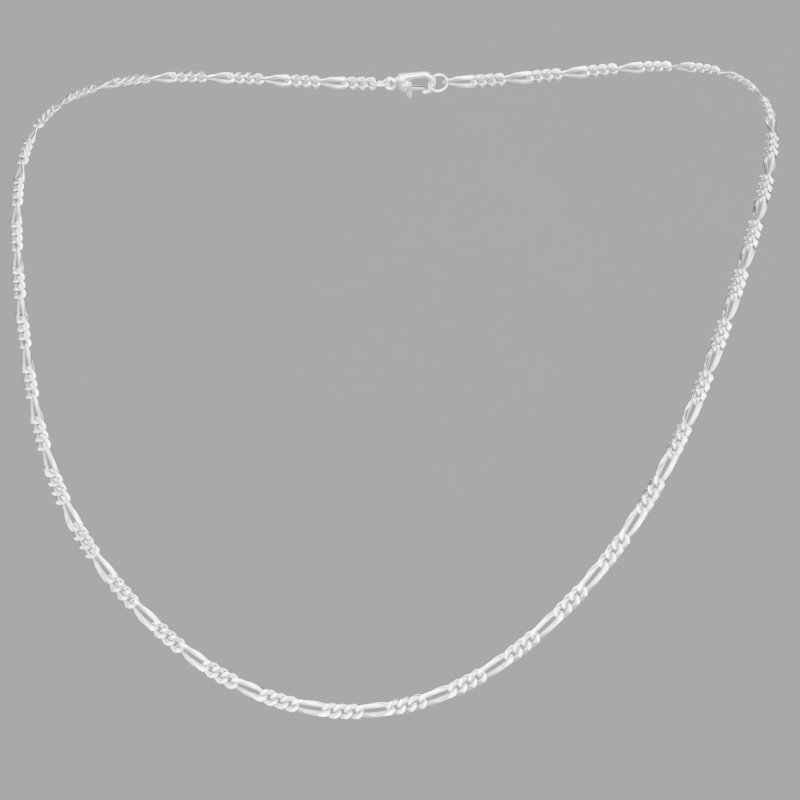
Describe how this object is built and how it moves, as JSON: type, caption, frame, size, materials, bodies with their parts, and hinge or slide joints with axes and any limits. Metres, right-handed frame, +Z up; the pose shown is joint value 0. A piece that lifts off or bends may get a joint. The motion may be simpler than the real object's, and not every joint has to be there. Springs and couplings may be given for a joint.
{
  "type": "figaro chain necklace",
  "caption": "Flat polished silver Figaro chain of short and long twisted oval links, closed at the nape by a lobster clasp and worn around a neck.",
  "frame": {"origin": "on the vertical axis of the neck, level with the top of the shoulders", "axes": "+Z up, the front of the wearer faces -Y, +X is the wearer's left"},
  "size_m": [0.1528, 0.0997, 0.1203],
  "materials": {
    "silver": "polished sterling silver",
    "steel": "drawn spring steel"
  },
  "bodies": {
    "shoulders": {"chain_repeat_07": "silver", "chain_repeat_08": "silver", "chain_repeat_34": "silver", "chain_repeat_35": "silver"},
    "drape_1": {"chain_repeat_09": "silver", "chain_repeat_10": "silver", "chain_repeat_11": "silver", "chain_repeat_31": "silver", "chain_repeat_32": "silver", "chain_repeat_33": "silver"},
    "drape_2": {"chain_repeat_12": "silver", "chain_repeat_13": "silver", "chain_repeat_29": "silver", "chain_repeat_30": "silver"},
    "drape_3": {"chain_repeat_14": "silver", "chain_repeat_15": "silver", "chain_repeat_27": "silver", "chain_repeat_28": "silver"},
    "drape_4": {"chain_repeat_16": "silver", "chain_repeat_17": "silver", "chain_repeat_25": "silver", "chain_repeat_26": "silver"},
    "drape_5": {"chain_repeat_18": "silver", "chain_repeat_19": "silver", "chain_repeat_23": "silver", "chain_repeat_24": "silver"},
    "drape_6": {"chain_repeat_20": "silver", "chain_repeat_22": "silver"},
    "drape_7": {"chain_repeat_21": "silver"},
    "nape_1": {"chain_repeat_05": "silver", "chain_repeat_06": "silver", "chain_repeat_36": "silver", "chain_repeat_37": "silver"},
    "nape_2": {"chain_repeat_03": "silver", "chain_repeat_04": "silver", "chain_repeat_38": "silver", "chain_repeat_39": "silver"},
    "nape_3": {"chain_repeat_01": "silver", "chain_repeat_02": "silver", "chain_repeat_40": "silver", "chain_repeat_41": "silver"},
    "clasp": {"claw_body": "silver", "claw_pin": "steel", "claw_spring": "steel"},
    "trigger": {"claw_trigger": "silver"},
    "jump_ring": {"jump_ring": "silver"},
    "end_ring": {"end_ring": "silver"}
  },
  "joints": [
    {"name": "lift_drape_1", "type": "hinge", "parent": "shoulders", "child": "drape_1", "pos_m": [0.00014, 0.0095, -0.01998], "axis": [-0.9997, -0.0187, -0.0171], "range_deg": [0, 8]},
    {"name": "lift_drape_2", "type": "hinge", "parent": "drape_1", "child": "drape_2", "pos_m": [0.00044, -0.01423, -0.04619], "axis": [-0.9996, -0.0167, -0.0212], "range_deg": [0, 8]},
    {"name": "lift_drape_3", "type": "hinge", "parent": "drape_2", "child": "drape_3", "pos_m": [0.0006, -0.02845, -0.06443], "axis": [-0.9996, -0.0173, -0.0234], "range_deg": [0, 8]},
    {"name": "lift_drape_4", "type": "hinge", "parent": "drape_3", "child": "drape_4", "pos_m": [0.00097, -0.03952, -0.08329], "axis": [-0.9995, -0.012, -0.0288], "range_deg": [0, 8]},
    {"name": "lift_drape_5", "type": "hinge", "parent": "drape_4", "child": "drape_5", "pos_m": [0.00138, -0.044, -0.10123], "axis": [-0.9994, -0.0037, -0.0348], "range_deg": [0, 8]},
    {"name": "lift_drape_6", "type": "hinge", "parent": "drape_5", "child": "drape_6", "pos_m": [0.00176, -0.04453, -0.11456], "axis": [-0.9992, 0, -0.0406], "range_deg": [0, 8]},
    {"name": "lift_drape_7", "type": "hinge", "parent": "drape_6", "child": "drape_7", "pos_m": [0.00188, -0.04453, -0.11764], "axis": [-0.9991, 0, -0.0422], "range_deg": [0, 8]},
    {"name": "lift_nape_1", "type": "hinge", "parent": "shoulders", "child": "nape_1", "pos_m": [-0.00081, 0.02836, -0.0061], "axis": [0.9997, 0.0211, 0.0114], "range_deg": [0, 8]},
    {"name": "lift_nape_2", "type": "hinge", "parent": "nape_1", "child": "nape_2", "pos_m": [-0.00172, 0.04356, -0.0006], "axis": [0.9999, 0.0148, 0.0017], "range_deg": [0, 8]},
    {"name": "lift_nape_3", "type": "hinge", "parent": "nape_2", "child": "nape_3", "pos_m": [-0.00187, 0.04997, -0.0013], "axis": [1, 0.0091, -0.004], "range_deg": [0, 8]},
    {"name": "clasp_roll", "type": "hinge", "parent": "nape_3", "child": "clasp", "pos_m": [-0.0019, 0.052, -0.00254], "axis": [1, 0.0073, -0.0061], "range_deg": [-10, 10]},
    {"name": "trigger_hinge", "type": "hinge", "parent": "clasp", "child": "trigger", "pos_m": [-0.00276, 0.0526, -0.00355], "axis": [0.0033, -0.8714, -0.4906], "range_deg": [0, 22], "stiffness_Nm_per_rad": 0.005, "springref_deg": -17.19},
    {"name": "jump_ring_roll", "type": "hinge", "parent": "clasp", "child": "jump_ring", "pos_m": [-0.0081, 0.05199, -0.00253], "axis": [0.9992, 0.0308, -0.0259], "range_deg": [-8, 8]},
    {"name": "end_ring_roll", "type": "hinge", "parent": "clasp", "child": "end_ring", "pos_m": [0.00415, 0.05208, -0.00261], "axis": [-0.9998, 0.0151, -0.0138], "range_deg": [-8, 8]}
  ]
}
